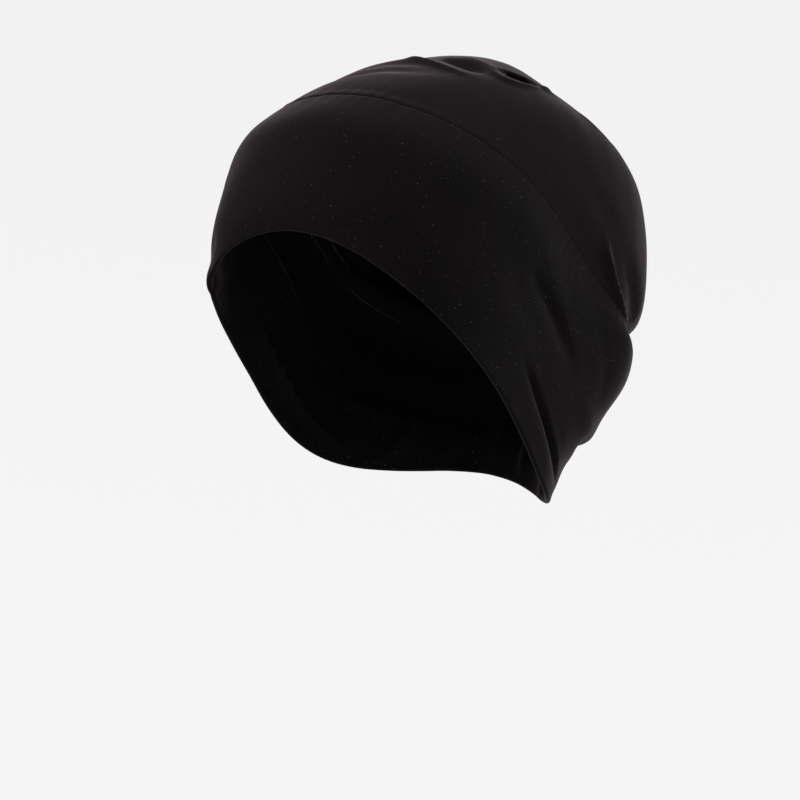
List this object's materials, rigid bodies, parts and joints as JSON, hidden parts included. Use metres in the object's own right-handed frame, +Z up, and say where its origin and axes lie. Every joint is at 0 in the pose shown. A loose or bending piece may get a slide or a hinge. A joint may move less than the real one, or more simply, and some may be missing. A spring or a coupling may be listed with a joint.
{
  "type": "sleep bonnet",
  "caption": "Slouchy stretch-jersey sleep bonnet: a deep doubled band round face and nape, and a soft crown bag gathered behind the top of the head.",
  "frame": {"origin": "the seat on the inside of the crown that the top of the head bears on, in the middle of the bonnet", "axes": "+Z up, the face opening towards -Y, +X to the wearer's left"},
  "size_m": [0.1591, 0.2033, 0.199],
  "materials": {
    "band_jersey": "soft black knit, doubled, with a fine nap",
    "crown_jersey": "soft black knit, one layer, with a fine nap"
  },
  "bodies": {
    "root": {"front_band": "band_jersey", "crown": "crown_jersey"}
  },
  "joints": []
}
